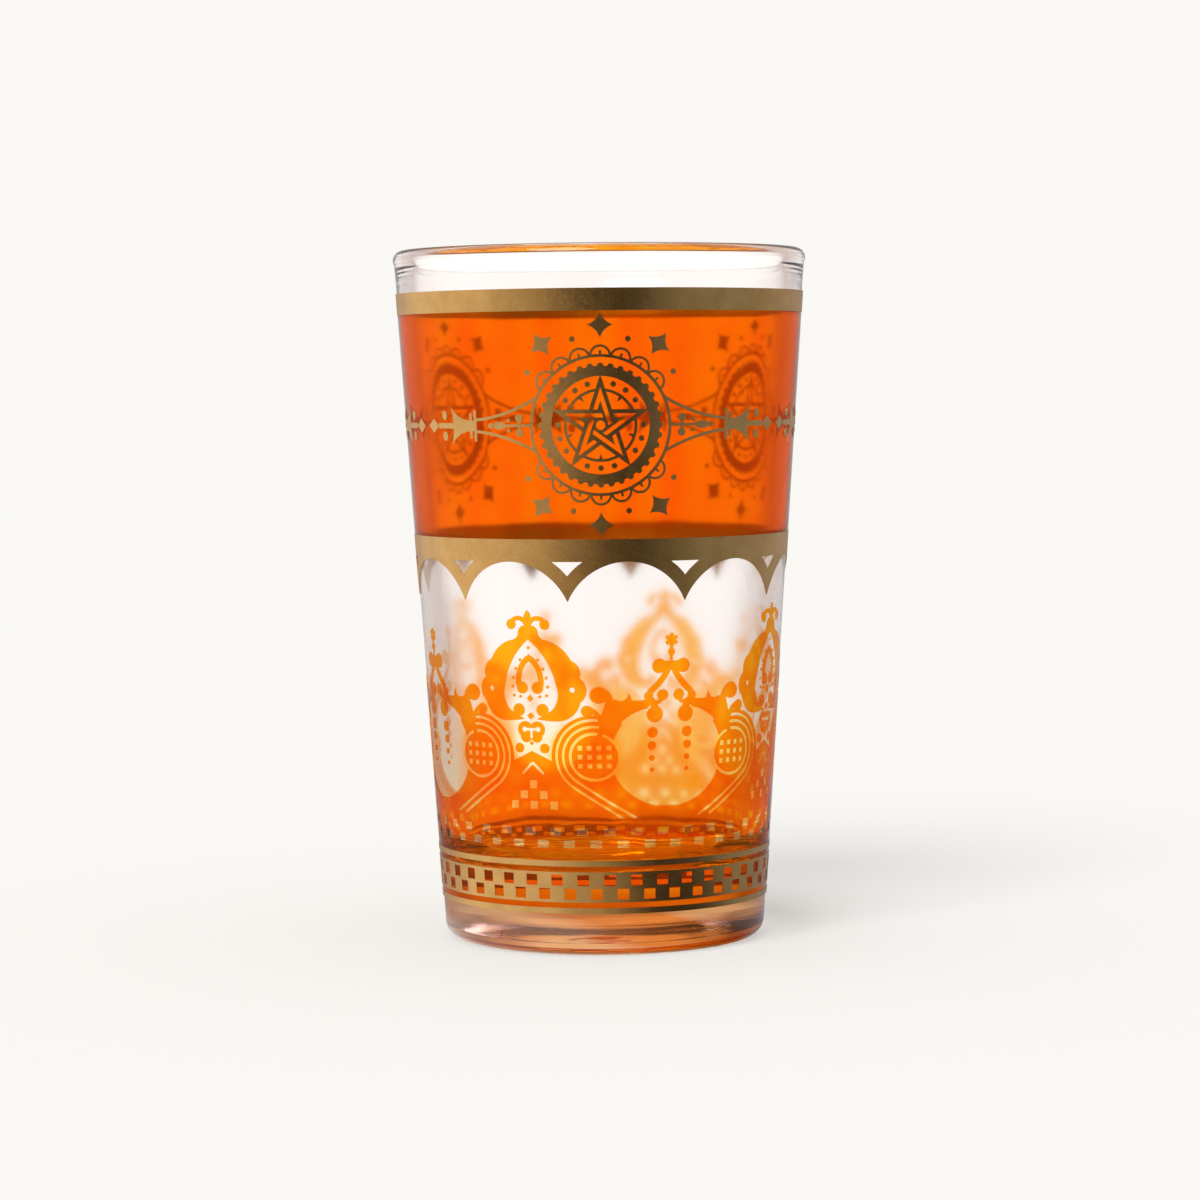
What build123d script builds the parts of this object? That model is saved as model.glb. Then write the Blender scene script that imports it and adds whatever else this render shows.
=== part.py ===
# A tapered tea glass: one clear pressed blank and the printed films fired onto its outside.
# Frame: origin at the centre of the foot, on the table; +Z up along the glass; -Y is the front.
# Azimuths are in degrees from the front, growing towards +X. Lengths are in millimetres.
from build123d import *
import os
from math import asin, cos, degrees, radians, sin, sqrt, tan

# Glass blank
HEIGHT = 92.0
RIM_RADIUS = 27.5
FOOT_RADIUS = 21.35
WALL_AT_RIM = 2.0
WALL_AT_FLOOR = 3.4
FLOOR_THICKNESS = 10.5
FLOOR_ROUND = 5.0
FOOT_ROUND = 2.2
BEAD_RADIUS = 1.3
BEAD_PROUD = 0.15
HOLLOW_RADIUS = 16.0
HOLLOW_DEPTH = 0.9

# Printed films
ORANGE_FILM = 0.08
GOLD_FILM = 0.06
FILM_LAP = 0.8

# Plain gold band under the rim, and the orange frieze below it
RIM_BAND_DROP = 5.75
RIM_BAND_WIDTH = 2.85
FRIEZE_HEIGHT = 29.1

# Scalloped gold collar under the frieze
SCALLOPS = 10
COLLAR_TURN = 7.6
COLLAR_SOLID = 2.9
SCALLOP_RISE = 5.1
CUSP_STRIP = 1.7

# Medallions on the frieze
MEDALLIONS = 3
LACE_GAP = 0.7
LACE_LINE = 0.38
LOOPS = 7
LOOP_PITCH = 17.0
LOOP_RADIUS = 1.25
LOOP_LINE = 0.3
LOOP_TICK = 0.65
WHEEL_RADIUS = 7.55
WHEEL_RIM = 1.3
TEETH = 36
TOOTH_RADIUS = 0.4
STAR_POINTS = 5
STAR_BAND = 1.38
STAR_LINE = 0.52
STAR_INNER_LINE = 0.34
INNER_RING = 4.5
INNER_RING_LINE = 0.36
INNER_TICK = 0.9
PEARL_RADIUS = 0.36
PEARL_STEP = 18.5
EYE_RADIUS = 0.75
EYE_LINE = 0.3

# Sparkles and pearls scattered round each medallion
SPARKLE_GAP = 0.8
SPARKLE_TIP = 1.7
SPARKLE_WAIST = 0.62
SPARKLE_STEP = 36.0
SCATTER_GAP = 1.25

# Links between the medallions, measured back from the middle of the gap
LINK_GAP = 0.5
LOZENGE_LENGTH = 2.3
LOZENGE_HEIGHT = 1.9
TREFOIL_PLACE = 4.1
TREFOIL_SPREAD = 1.35
TREFOIL_LOBE = 0.6
TRUMPET_START = 5.4
TRUMPET_LENGTH = 3.4
TRUMPET_HEIGHT = 5.0
TRUMPET_DISH = 0.13
FLANK_PLACE = 0.42
FLANK_SHARE = 0.5
STEM_HEIGHT = 0.7
BAR_WIDTH = 0.42
BAR_GAP = 0.3
BAR_HEIGHT = 4.0
BAR_STEP = 0.8
STRAND_LINE = 0.38
STRAND_SPREAD = 3.7
STRAND_NECK = 0.75
STRAND_BELLY = 0.29
BUD_LENGTH = 1.9
BUD_HEIGHT = 1.0
PALMETTE_BALL = 0.5
PALMETTE_SPREAD = 0.95
PALMETTE_REACH = 1.5

# Gold chequer band round the foot
CHEQUER_LOW = 5.7
CHEQUER_LINE = 0.77
CHEQUER_GAP = 0.72
CHEQUERS = 40
CHEQUER_TURN = 1.8
CHEQUER_WIDTH = 1.53
CHEQUER_TALL = 1.42
CHEQUER_BAR = 0.38

# Two rows of clear windows in the orange foot field, in step with the gold chequer below them
LIGHT_HEIGHT = 14.8
LIGHT_ROW = 1.62
LIGHT_WIDTH = 1.5
LIGHT_TALL = 1.0

# Orange arabesque on the lower half
PANELS = 4
PANEL_TURN = -23.4
FIELD_TOP = 19.7
CARTOUCHE_TOP = 45.2
CARTOUCHE_HEIGHT = 14.4
CARTOUCHE_HALF = 7.35
ROUNDEL_RADIUS = 2.8
ROUNDEL_TURN = 20.5
ROUNDEL_HEIGHT = 26.2
ROUNDEL_RING = 0.4
NET_PITCH = 1.17
NET_HOLE = 0.62
NET_REACH = 2.68
STRAP_INSIDE = 3.92
STRAP_OUTSIDE = 4.78
STRAP_GAP = 0.36
STRAP_LINE = 0.45
STRAP_FOOT = 18.2
TENT_TOP = 26.9
TENT_SHOULDER = 1.5
HOOK_BALL = 0.75
DIAPER_HOLE = 1.05
DIAPER_PITCH = 2.75
DIAPER_ROW = 1.35
DIAPER_ROWS = 3
OPENING_HALF = 7.7
OPENING_TALL = 13.7
OPENING_DIP = 0.12
FINIAL_TOP = 42.2
VOLUTE_RADIUS = 0.95
DROP_RADIUS = 1.08
STROKE = 0.75
BEAD_DOT = 0.21

# How the flat drawings are carried onto the glass
CUT_START = 0.4 * FOOT_RADIUS
CUT_REACH = RIM_RADIUS

rim_band_top = HEIGHT - RIM_BAND_DROP
rim_band_low = rim_band_top - RIM_BAND_WIDTH
collar_top = rim_band_low - FRIEZE_HEIGHT
collar_crown = collar_top - COLLAR_SOLID
collar_tip = collar_crown - SCALLOP_RISE
frieze_middle = (rim_band_low + collar_top) / 2
lace_radius = WHEEL_RADIUS + TOOTH_RADIUS + LACE_GAP + LACE_LINE / 2
loop_edge = lace_radius + LOOP_RADIUS + LOOP_LINE / 2
chequer_field_low = CHEQUER_LOW + CHEQUER_LINE + CHEQUER_GAP
chequer_field_tall = 2 * CHEQUER_TALL + 3 * CHEQUER_BAR
chequer_field_top = chequer_field_low + chequer_field_tall
chequer_line_low = chequer_field_top + CHEQUER_GAP
chequer_top = chequer_line_low + CHEQUER_LINE


def outside(z):
    return FOOT_RADIUS + (RIM_RADIUS - FOOT_RADIUS) * z / HEIGHT


def inside(z):
    share = (z - FLOOR_THICKNESS) / (HEIGHT - FLOOR_THICKNESS)
    return outside(z) - WALL_AT_FLOOR + (WALL_AT_FLOOR - WALL_AT_RIM) * share


# Flat drawings and how they reach the glass
def fused(drawings):
    return Sketch() + list(drawings)


def mirrored(drawing):
    return drawing + mirror(drawing, about=Plane.YZ)


def disc(x, z, radius):
    return Pos(x, z) * Circle(radius)


def block(x, z, width, tall):
    return Pos(x, z) * Rectangle(width, tall)


def ring(radius, line):
    return Circle(radius + line / 2) - Circle(radius - line / 2)


def lozenge(x, z, half_width, half_height):
    points = [(x - half_width, z), (x, z + half_height), (x + half_width, z), (x, z - half_height)]
    return Polygon(*points, align=None)


def arc_stroke(start, middle, end, width):
    return trace(ThreePointArc(start, middle, end), line_width=width)


def upright(drawing):
    """The drawing turned, where it needs it, to face out of the page."""
    return Sketch() + [face if face.normal_at().Z > 0 else -face for face in drawing.faces()]


def arc_face(points):
    """A face whose edge runs in arcs: every second point lies midway along an arc."""
    closed = points + points[:1]
    steps = range(0, len(points), 2)
    return make_face([ThreePointArc(*closed[i : i + 3]) for i in steps])


def polar(radius, azimuth):
    return radius * cos(radians(azimuth)), radius * sin(radians(azimuth))


def stamp(drawing, azimuth):
    """The flat drawing as a block that crosses the wall of the glass at that azimuth."""
    turn = radians(azimuth)
    outward = Vector(sin(turn), -cos(turn), 0)
    plane = Plane(origin=outward * CUT_START, x_dir=(cos(turn), sin(turn), 0), z_dir=outward)
    return extrude(plane * upright(drawing), amount=CUT_REACH)


def shell(z_low, z_high, lift, film):
    """A conical film on the glass between two heights, lifted off it by the film beneath."""
    r_low, r_high = outside(z_low) + lift, outside(z_high) + lift
    profile = Polygon(
        (r_low, z_low), (r_high, z_high), (r_high + film, z_high), (r_low + film, z_low), align=None
    )
    return revolve(Plane.XZ * profile, Axis.Z)


def lapped_band(z_low, z_high, lap_low, lap_high):
    """A gold band on the glass that laps over the edge of the orange film."""
    return shell(z_low, z_high, 0, ORANGE_FILM + GOLD_FILM) - shell(lap_low, lap_high, 0, ORANGE_FILM)


# Glass blank
def glass_body():
    rim_wall = HEIGHT - BEAD_RADIUS
    bead_x = outside(rim_wall) + BEAD_PROUD - BEAD_RADIUS
    blank = Polygon(
        (0, 0),
        (FOOT_RADIUS, 0),
        (outside(rim_wall), rim_wall),
        (inside(rim_wall), rim_wall),
        (inside(FLOOR_THICKNESS), FLOOR_THICKNESS),
        (0, FLOOR_THICKNESS),
        align=None,
    )
    blank = fillet(blank.vertices().sort_by_distance((FOOT_RADIUS, 0))[0], FOOT_ROUND)
    floor_corner = (inside(FLOOR_THICKNESS), FLOOR_THICKNESS)
    blank = fillet(blank.vertices().sort_by_distance(floor_corner)[0], FLOOR_ROUND)
    profile = blank + disc(bead_x, rim_wall, BEAD_RADIUS)
    sag_radius = (HOLLOW_RADIUS**2 + HOLLOW_DEPTH**2) / (2 * HOLLOW_DEPTH)
    profile -= disc(0, HOLLOW_DEPTH - sag_radius, sag_radius)
    profile &= block(RIM_RADIUS, HEIGHT / 2, 2 * RIM_RADIUS, 2 * HEIGHT)
    return revolve(Plane.XZ * profile, Axis.Z)


# Scalloped collar
def collar():
    half_pitch = 180 / SCALLOPS
    half_span = outside(collar_tip) * sin(radians(half_pitch))
    arch_radius = (half_span**2 + SCALLOP_RISE**2) / (2 * SCALLOP_RISE)
    arch_low = collar_crown - arch_radius
    arch = disc(0, arch_low, arch_radius)
    window = block(0, (collar_crown + collar_tip) / 2, half_span, SCALLOP_RISE)
    window -= mirrored(disc(half_span, arch_low, arch_radius + CUSP_STRIP))
    band = lapped_band(collar_tip, collar_top, collar_top - FILM_LAP, collar_top)
    for k in range(SCALLOPS):
        azimuth = COLLAR_TURN + 2 * half_pitch * k
        band -= stamp(arch, azimuth)
        band -= stamp(window, azimuth + half_pitch)
    return band


# Medallions
def lace_ring():
    loop = ring(LOOP_RADIUS, LOOP_LINE) + block(0, LOOP_TICK / 2, LOOP_LINE, LOOP_TICK)
    loops = []
    for k in range(LOOPS):
        turn = (k - (LOOPS - 1) / 2) * LOOP_PITCH
        loops += [Rot(0, 0, turn + flip) * Pos(0, lace_radius) * loop for flip in (0, 180)]
    return fused(loops) - Circle(lace_radius) + ring(lace_radius, LACE_LINE)


def interlaced_star(tip_radius):
    """Straps woven over and under between the points, drawn as border lines, with a filled heart in each arm."""
    step = 360 / STAR_POINTS
    edge = tip_radius * cos(radians(step))
    corner = edge / cos(radians(step / 2))
    arm_half = edge * tan(radians(step / 2))
    length = 2 * tip_radius * sin(radians(step))
    turns = [step * k for k in range(STAR_POINTS)]
    core = RegularPolygon(corner, STAR_POINTS, rotation=-90)
    arm = Polygon((-arm_half, edge), (arm_half, edge), (0, tip_radius), align=None)
    star = core + [Rot(0, 0, turn) * arm for turn in turns]

    def bars(low, high):
        return [Rot(0, 0, turn) * block(0, edge - (low + high) / 2, length, high - low) for turn in turns]

    straps = bars(0, STAR_BAND)
    outer = bars(0, STAR_LINE)
    inner = bars(STAR_BAND - STAR_INNER_LINE, STAR_BAND)
    hearts = star - core - fused(bars(0, STAR_BAND - STAR_INNER_LINE))
    lines = [(outer[k] + (inner[k] & core)) - straps[k - 1] for k in range(STAR_POINTS)]
    return (fused(lines) & star) + hearts, star


def star_wheel():
    hub = WHEEL_RADIUS - WHEEL_RIM
    rim = Circle(WHEEL_RADIUS) - Circle(hub)
    rim += [Rot(0, 0, 360 / TEETH * k) * disc(0, WHEEL_RADIUS, TOOTH_RADIUS) for k in range(TEETH)]
    lines, star = interlaced_star(hub + STAR_LINE / 2)
    pearl = disc(0, (hub + INNER_RING + INNER_RING_LINE / 2) / 2, PEARL_RADIUS)
    tick_half = INNER_TICK / 3
    tick = Polygon(
        (-tick_half, INNER_RING), (0, INNER_RING - INNER_TICK), (tick_half, INNER_RING), align=None
    )
    gaps = ring(INNER_RING, INNER_RING_LINE)
    for k in range(STAR_POINTS):
        turn = 360 / STAR_POINTS * (k + 0.5)
        gaps += Rot(0, 0, turn) * tick
        gaps += [Rot(0, 0, turn + PEARL_STEP * side) * pearl for side in (-1, 0, 1)]
    return rim + lines + (gaps - star) + ring(EYE_RADIUS, EYE_LINE)


def sparkle():
    points = []
    for k in range(4):
        points += [polar(SPARKLE_TIP, 90 * k), polar(SPARKLE_WAIST * sqrt(2), 90 * k + 45)]
    return arc_face(points)


def scatter():
    star = Pos(0, loop_edge + SPARKLE_GAP + SPARKLE_TIP) * sparkle()
    pearl = disc(0, loop_edge + SCATTER_GAP, PEARL_RADIUS)
    drawings = []
    for flip in (0, 180):
        drawings += [Rot(0, 0, flip + SPARKLE_STEP * k) * star for k in (-1, 0, 1)]
        drawings += [Rot(0, 0, flip + SPARKLE_STEP * (k + 0.5)) * pearl for k in (-2, -1, 0, 1)]
    return fused(drawings)


# Links, drawn to the left of the middle of the gap with +X towards it
def half_link(middle, lace):
    half = TRUMPET_HEIGHT / 2
    mouth = middle - TRUMPET_START
    throat = mouth - TRUMPET_LENGTH
    bar_in = throat - BAR_WIDTH / 2
    bar_out = bar_in - BAR_WIDTH - BAR_GAP
    neck = bar_out - BAR_WIDTH / 2
    strand_end = lace - lace_radius + sqrt(lace_radius**2 - STRAND_SPREAD**2) - LACE_LINE
    belly = (neck + strand_end) / 2
    belly_spread = STRAND_NECK + STRAND_BELLY * (STRAND_SPREAD - STRAND_NECK)
    lozenge_x = middle - LINK_GAP - LOZENGE_LENGTH / 2
    flank = mouth - FLANK_PLACE * TRUMPET_LENGTH
    trumpet = arc_face(
        [
            (mouth, half),
            (flank, FLANK_SHARE * half),
            (throat, STEM_HEIGHT),
            (throat - 0.01 * TRUMPET_LENGTH, 0),
            (throat, -STEM_HEIGHT),
            (flank, -FLANK_SHARE * half),
            (mouth, -half),
            (mouth - TRUMPET_DISH * TRUMPET_LENGTH, 0),
        ]
    )
    stem_end = lozenge_x - LOZENGE_LENGTH / 2
    stem_start = mouth - 0.3 * TRUMPET_LENGTH
    pieces = [
        lozenge(lozenge_x, 0, LOZENGE_LENGTH / 2, LOZENGE_HEIGHT / 2),
        trumpet,
        block((stem_start + stem_end) / 2, 0, stem_end - stem_start, STEM_HEIGHT),
        block(bar_in, 0, BAR_WIDTH, BAR_STEP * BAR_HEIGHT),
        block(bar_out, 0, BAR_WIDTH, BAR_HEIGHT),
        block((neck + throat) / 2, 0, throat - neck, 2 * STEM_HEIGHT),
        Pos(neck - 0.45 * (neck - lace), 0) * Ellipse(BUD_LENGTH / 2, BUD_HEIGHT / 2),
        disc(neck - 0.28 * (neck - lace), 0, PEARL_RADIUS),
        block((lace + neck - 0.45 * (neck - lace)) / 2, 0, 0.55 * (neck - lace), 0.5 * STEM_HEIGHT),
        block(lace + PALMETTE_REACH, 0, STRAND_LINE, 2 * PALMETTE_SPREAD),
    ]
    for side in (-1, 1):
        pieces += [
            Pos(middle - TREFOIL_PLACE, side * TREFOIL_SPREAD) * Ellipse(0.8 * TREFOIL_LOBE, TREFOIL_LOBE),
            disc(lace + PALMETTE_REACH, side * PALMETTE_SPREAD, PALMETTE_BALL),
            disc(lace + 2 * PALMETTE_REACH, side * 0.7 * PALMETTE_SPREAD, 0.5 * PALMETTE_BALL),
            arc_stroke(
                (neck, side * STRAND_NECK),
                (belly, side * belly_spread),
                (strand_end, side * STRAND_SPREAD),
                STRAND_LINE,
            ),
        ]
    return fused(pieces)


# Chequers round the foot
def chequered(band, z, row_step, width, tall):
    """The band with two rows of windows cut through it, the lower row half a pitch out of step."""
    pitch = 360 / CHEQUERS
    for row in (0, 1):
        window = block(0, z + row * row_step, width, tall)
        band -= [stamp(window, CHEQUER_TURN + pitch * (k + (1 - row) / 2)) for k in range(CHEQUERS)]
    return band


def gold_chequer():
    band = shell(chequer_field_low, chequer_field_top, ORANGE_FILM, GOLD_FILM)
    z = chequer_field_low + CHEQUER_BAR + CHEQUER_TALL / 2
    return chequered(band, z, CHEQUER_TALL + CHEQUER_BAR, CHEQUER_WIDTH, CHEQUER_TALL)


def foot_field(gaps):
    band = shell(CHEQUER_LOW, FIELD_TOP, 0, ORANGE_FILM)
    band = chequered(band, LIGHT_HEIGHT, LIGHT_ROW, LIGHT_WIDTH, LIGHT_TALL)
    return band - [stamp(gaps, PANEL_TURN + 360 / PANELS * k) for k in range(PANELS)]


# Orange cartouche, drawn from the tip of its crest down
def cartouche_point(across, down):
    return across * CARTOUCHE_HALF, CARTOUCHE_TOP - down * CARTOUCHE_HEIGHT


def half_outline(points):
    """A mirrored face from arcs between points on the axis; every second point lies midway along an arc."""
    places = [cartouche_point(*point) for point in points]
    edges = [ThreePointArc(*places[i : i + 3]) for i in range(0, len(places) - 2, 2)]
    return mirrored(make_face(edges + [Line(places[-1], places[0])]))


def cartouche_body():
    leaf = half_outline([(0, 0), (0.075, 0.08), (0, 0.17)])
    crest_ball = disc(*cartouche_point(0.32, 0.13), 0.9 * STROKE)
    crest_arc = arc_stroke(
        cartouche_point(0.02, 0.16), cartouche_point(0.16, 0.075), cartouche_point(0.3, 0.1), 0.8 * STROKE
    )
    body = half_outline(
        [
            (0, 0.145),
            (0.13, 0.15),
            (0.19, 0.2),
            (0.23, 0.25),
            (0.32, 0.27),
            (0.585, 0.335),
            (0.76, 0.45),
            (0.89, 0.51),
            (0.9, 0.61),
            (1.01, 0.71),
            (0.9, 0.83),
            (0.76, 0.95),
            (0.47, 1.0),
            (0.2, 0.99),
            (0, 0.97),
        ]
    )
    almond = half_outline(
        [(0, 0.265), (0.28, 0.42), (0.49, 0.68), (0.51, 0.79), (0.4, 0.9), (0.2, 0.96), (0, 1.01)]
    )
    eyelet = mirrored(disc(*cartouche_point(0.77, 0.715), 1.6 * BEAD_DOT))
    scroll = mirrored(disc(*cartouche_point(0.225, 0.9), 1.1 * STROKE))
    return leaf + mirrored(crest_ball + crest_arc) + (body - almond - eyelet) + scroll


def cartouche_drop():
    leg = arc_stroke(
        cartouche_point(0.01, 0.43), cartouche_point(0.185, 0.55), cartouche_point(0.21, 0.68), STROKE
    )
    ball = disc(*cartouche_point(0.145, 0.7), 1.05 * STROKE)
    tip = lozenge(*cartouche_point(0, 0.425), 0.5 * STROKE, 0.6 * STROKE)
    bead_places = [(0.17, 0.45), (0.26, 0.53), (0.315, 0.61), (0.335, 0.69), (0.31, 0.77), (0.185, 0.78)]
    beads = fused(disc(*cartouche_point(*place), BEAD_DOT) for place in bead_places)
    gems = [lozenge(*cartouche_point(0, down), 0.65 * STROKE, 0.65 * STROKE) for down in (0.795, 0.955)]
    return fused([mirrored(leg + ball + beads), tip, disc(*cartouche_point(0, 0.34), BEAD_DOT), *gems])


def cartouche_knot():
    upper = mirrored(disc(*cartouche_point(0.115, 1.075), 1.4 * STROKE))
    lower = mirrored(disc(*cartouche_point(0.1, 1.14), 1.05 * STROKE))
    bar = mirrored(disc(*cartouche_point(0.13, 1.075), 0.45 * STROKE)) + block(
        *cartouche_point(0, 1.075), 0.26 * CARTOUCHE_HALF, 0.5 * STROKE
    )
    slot = bar + block(*cartouche_point(0, 1.115), 0.5 * STROKE, 1.5 * STROKE)
    balls = mirrored(disc(*cartouche_point(0.24, 1.245), 0.85 * STROKE))
    return (upper + lower - slot) + balls + lozenge(*cartouche_point(0, 1.2), 0.4 * STROKE, 0.4 * STROKE)


# Pillar under the cartouche: straps round two netted roundels, and a chequered tent between them
roundel_x = outside(ROUNDEL_HEIGHT) * sin(radians(ROUNDEL_TURN))
strap_out = STRAP_OUTSIDE + STRAP_GAP / 2 + STRAP_LINE
opening_z = FIELD_TOP - OPENING_DIP + OPENING_TALL / 2


def pillar_envelope():
    reach = 2 * outside(FIELD_TOP) * sin(radians(180 / PANELS))
    skirt = block(0, (FIELD_TOP + TENT_TOP) / 2, reach, TENT_TOP - FIELD_TOP)
    return skirt + mirrored(disc(roundel_x, ROUNDEL_HEIGHT, strap_out))


def strap_gap(radius):
    """A clear line round the roundel that leaves it below and runs out into the foot field."""
    start, leave = 75, 235
    arc = CenterArc((roundel_x, ROUNDEL_HEIGHT), radius, start, leave - start)
    x, z = roundel_x + polar(radius, leave)[0], ROUNDEL_HEIGHT + polar(radius, leave)[1]
    run = (z - STRAP_FOOT) / cos(radians(leave - 180))
    away = polar(run, leave + 90)
    return trace(arc + Line((x, z), (x + away[0], z + away[1])), line_width=STRAP_GAP)


def pillar_gaps():
    inner, outer = strap_gap(STRAP_INSIDE), strap_gap(STRAP_OUTSIDE)
    side = roundel_x - strap_out
    pocket = Polygon(
        (0, TENT_TOP),
        (side + STRAP_LINE, TENT_TOP - TENT_SHOULDER),
        (roundel_x, TENT_TOP - TENT_SHOULDER),
        (roundel_x, ROUNDEL_HEIGHT + strap_out),
        (0, ROUNDEL_HEIGHT + strap_out),
        align=None,
    )
    pocket -= disc(roundel_x, ROUNDEL_HEIGHT, strap_out)
    chevron_low = TENT_TOP - 2 * TENT_SHOULDER
    slope = Line((0, TENT_TOP - TENT_SHOULDER), (TENT_SHOULDER, chevron_low))
    chevron = trace(slope, line_width=STRAP_GAP)
    top_row = chevron_low - DIAPER_ROW
    holes = []
    for row in range(DIAPER_ROWS):
        for k in range(row + 1):
            x = (k - row / 2) * DIAPER_PITCH
            holes.append(block(x, top_row - row * DIAPER_ROW, DIAPER_HOLE, DIAPER_HOLE))
    seat = disc(roundel_x, ROUNDEL_HEIGHT, ROUNDEL_RADIUS + ROUNDEL_RING)
    return mirrored(inner + outer + pocket + chevron + seat) + fused(holes)


def roundel():
    net = []
    for column in (-1.5, -0.5, 0.5, 1.5):
        for row in (-2, -1, 0, 1, 2):
            x, z = column * NET_PITCH, row * NET_PITCH
            if sqrt((abs(x) + NET_HOLE / 2) ** 2 + (abs(z) + NET_HOLE / 2) ** 2) < NET_REACH:
                net.append(block(x, z, NET_HOLE, NET_HOLE))
    hook_top = strap_out + HOOK_BALL
    hook = arc_stroke(
        (0.2 * ROUNDEL_RADIUS, 0.9 * ROUNDEL_RADIUS),
        (0.35 * ROUNDEL_RADIUS, 0.8 * strap_out),
        (-0.1 * ROUNDEL_RADIUS, hook_top),
        0.8 * STROKE,
    )
    ball = disc(-0.25 * ROUNDEL_RADIUS, hook_top - 0.3 * HOOK_BALL, HOOK_BALL)
    return Pos(roundel_x, ROUNDEL_HEIGHT) * (Circle(ROUNDEL_RADIUS) - fused(net) + hook + ball)


# Orange arch ornament, drawn from the tip of its finial down
def arch_point(across, down):
    return across * OPENING_HALF, FINIAL_TOP - down * (FINIAL_TOP - FIELD_TOP)


def arch_ornament():
    flower_x, flower_z = arch_point(0, 0.045)
    flower = disc(flower_x, flower_z, 0.75 * STROKE)
    flower += [
        Pos(flower_x, flower_z) * Rot(0, 0, 60 * k) * disc(0, 0.85 * STROKE, 0.4 * STROKE) for k in range(6)
    ]
    bead = disc(*arch_point(0, 0.112), 0.65 * STROKE)
    stem_top, stem_low = arch_point(0, 0.06)[1], arch_point(0, 0.19)[1]
    stem = block(0, (stem_top + stem_low) / 2, 0.5 * STROKE, stem_top - stem_low)
    heart = block(*arch_point(0, 0.185), 2 * VOLUTE_RADIUS, VOLUTE_RADIUS)
    volute = disc(*arch_point(0.215, 0.192), VOLUTE_RADIUS)
    leg = arc_stroke(arch_point(0.04, 0.2), arch_point(0.2, 0.285), arch_point(0.39, 0.345), 1.1 * STROKE)
    leg += disc(*arch_point(0.39, 0.365), 0.8 * STROKE)
    curl = disc(*arch_point(0.145, 0.36), STROKE)
    curl += arc_stroke(arch_point(0.17, 0.39), arch_point(0.25, 0.4), arch_point(0.33, 0.38), 0.7 * STROKE)
    drop = disc(*arch_point(0.275, 0.47), DROP_RADIUS)
    drop += arc_stroke(arch_point(0.28, 0.44), arch_point(0.33, 0.4), arch_point(0.42, 0.385), 1.3 * STROKE)
    beads = [
        disc(*arch_point(0.31, 0.575), 0.92 * STROKE),
        disc(*arch_point(0.32, 0.65), 0.75 * STROKE),
        disc(*arch_point(0.315, 0.722), 0.52 * STROKE),
        disc(*arch_point(0.312, 0.79), 0.35 * STROKE),
    ]
    arm = arc_face(
        [
            arch_point(0.36, 0.375),
            arch_point(0.52, 0.388),
            arch_point(0.68, 0.385),
            arch_point(0.7, 0.36),
            arch_point(0.73, 0.345),
            arch_point(0.76, 0.375),
            arch_point(0.86, 0.39),
            arch_point(1.02, 0.385),
            arch_point(1.11, 0.42),
            arch_point(1.18, 0.5),
            arch_point(1.25, 0.6),
            arch_point(1.14, 0.63),
            arch_point(1.03, 0.62),
            arch_point(0.8, 0.5),
            arch_point(0.4, 0.435),
            arch_point(0.36, 0.41),
        ]
    )
    scroll = disc(*arch_point(1.2, 0.355), DROP_RADIUS)
    scroll += arc_stroke(
        arch_point(1.22, 0.326), arch_point(1.1, 0.345), arch_point(1.05, 0.42), 1.3 * STROKE
    )
    side = fused([volute, leg, curl, drop, arm, scroll, *beads])
    return fused([flower, bead, stem, heart, mirrored(side)])


os.makedirs("parts", exist_ok=True)
nodes = {}

nodes["glass_body"] = glass_body()

# Plain bands
frieze_low, frieze_high = collar_top - FILM_LAP, rim_band_low + FILM_LAP
nodes["orange_frieze"] = shell(frieze_low, frieze_high, 0, ORANGE_FILM)
nodes["rim_gold_band"] = lapped_band(rim_band_low, rim_band_top, rim_band_low, frieze_high)
nodes["collar_gold_band"] = collar()
nodes["orange_foot_field"] = foot_field(pillar_gaps())
nodes["foot_gold_line_low"] = shell(CHEQUER_LOW, CHEQUER_LOW + CHEQUER_LINE, ORANGE_FILM, GOLD_FILM)
nodes["foot_gold_chequer"] = gold_chequer()
nodes["foot_gold_line_high"] = shell(chequer_line_low, chequer_top, ORANGE_FILM, GOLD_FILM)

# Gold print on the frieze
frieze_gold = shell(collar_top, rim_band_low, ORANGE_FILM, GOLD_FILM)
frieze_radius = outside(frieze_middle)
pitch = 360 / MEDALLIONS
lace_turn = degrees(asin(lace_radius / frieze_radius))
link_turn = (pitch / 2 + lace_turn) / 2
link_half = frieze_radius * sin(radians(pitch / 2 - link_turn))
to_frieze = Pos(0, frieze_middle)
lace, wheel, sparkles = to_frieze * lace_ring(), to_frieze * star_wheel(), to_frieze * scatter()
link = to_frieze * half_link(link_half, -link_half)
link_back = mirror(link, about=Plane.YZ)
lace_disc = to_frieze * Circle(lace_radius + LACE_LINE / 2)
near = stamp(link, link_turn) - stamp(lace_disc, 0)
far = stamp(link_back, pitch - link_turn) - stamp(lace_disc, pitch)
motifs = {
    "medallion_lace": frieze_gold & stamp(lace, 0),
    "medallion_wheel": frieze_gold & stamp(wheel, 0),
    "medallion_sparkles": frieze_gold & stamp(sparkles, 0),
    "frieze_link": (frieze_gold & near) + (frieze_gold & far),
}
for name, motif in motifs.items():
    for k in range(MEDALLIONS):
        nodes[f"{name}_{k + 1}"] = Rot(0, 0, pitch * k) * motif

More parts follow.
